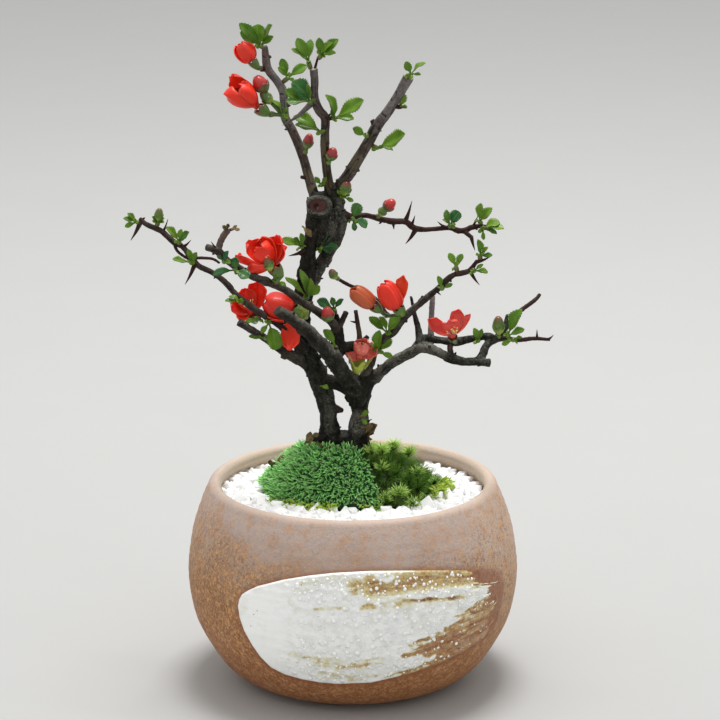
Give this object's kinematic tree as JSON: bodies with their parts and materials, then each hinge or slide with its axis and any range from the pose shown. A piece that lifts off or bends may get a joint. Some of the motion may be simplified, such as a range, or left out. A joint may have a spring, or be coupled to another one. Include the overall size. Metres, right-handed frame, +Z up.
{
  "type": "potted bonsai tree",
  "caption": "Twin-stemmed flowering quince bonsai with thorny branches, small leaves and red flowers, on a moss mound in white gravel in a round stoneware bowl.",
  "frame": {"origin": "centre of the bowl's flat underside", "axes": "+Z up along the bowl's axis, -Y towards the side with the brushed glaze stroke"},
  "size_m": [0.1853, 0.1434, 0.2847],
  "materials": {
    "pot": "unglazed speckled stoneware with a brushed white glaze stroke",
    "drain_net": "moulded net",
    "soil": "crumbly soil",
    "gravel": "crushed white chips",
    "moss_mound": "dense cushion of dark green moss",
    "moss_tuft": "loose olive haircap moss",
    "trunk": "dark rough bark",
    "leaf_green": "glossy green leaves, cups and buds",
    "petal_red": "soft scarlet petals"
  },
  "bodies": {
    "root": {"drain_net": "drain_net", "gravel": "gravel", "moss_mound": "moss_mound", "moss_tuft": "moss_tuft", "petals_01": "petal_red", "petals_02": "petal_red", "petals_03": "petal_red", "petals_05": "petal_red", "petals_06": "petal_red", "petals_08": "petal_red", "petals_09": "petal_red", "petals_10": "petal_red", "petals_11": "petal_red", "pot": "pot", "soil": "soil", "spray_01": "leaf_green", "spray_02": "leaf_green", "spray_03": "leaf_green", "spray_04": "leaf_green", "spray_05": "leaf_green", "spray_06": "leaf_green", "spray_07": "leaf_green", "spray_08": "leaf_green", "spray_09": "leaf_green", "spray_10": "leaf_green", "spray_11": "leaf_green", "spray_12": "leaf_green", "spray_13": "leaf_green", "spray_14": "leaf_green", "spray_15": "leaf_green", "spray_16": "leaf_green", "spray_17": "leaf_green", "spray_18": "leaf_green", "spray_19": "leaf_green", "spray_20": "leaf_green", "spray_21": "leaf_green", "spray_22": "leaf_green", "spray_23": "leaf_green", "spray_24": "leaf_green", "spray_25": "leaf_green", "spray_26": "leaf_green", "spray_27": "leaf_green", "spray_28": "leaf_green", "spray_29": "leaf_green", "spray_30": "leaf_green", "spray_31": "leaf_green", "spray_32": "leaf_green", "spray_33": "leaf_green", "spray_34": "leaf_green", "spray_35": "leaf_green", "spray_36": "leaf_green", "spray_37": "leaf_green", "spray_38": "leaf_green", "spray_39": "leaf_green", "spray_40": "leaf_green", "spray_41": "leaf_green", "spray_42": "leaf_green", "spray_43": "leaf_green", "spray_44": "leaf_green", "trunk": "trunk"}
  },
  "joints": []
}
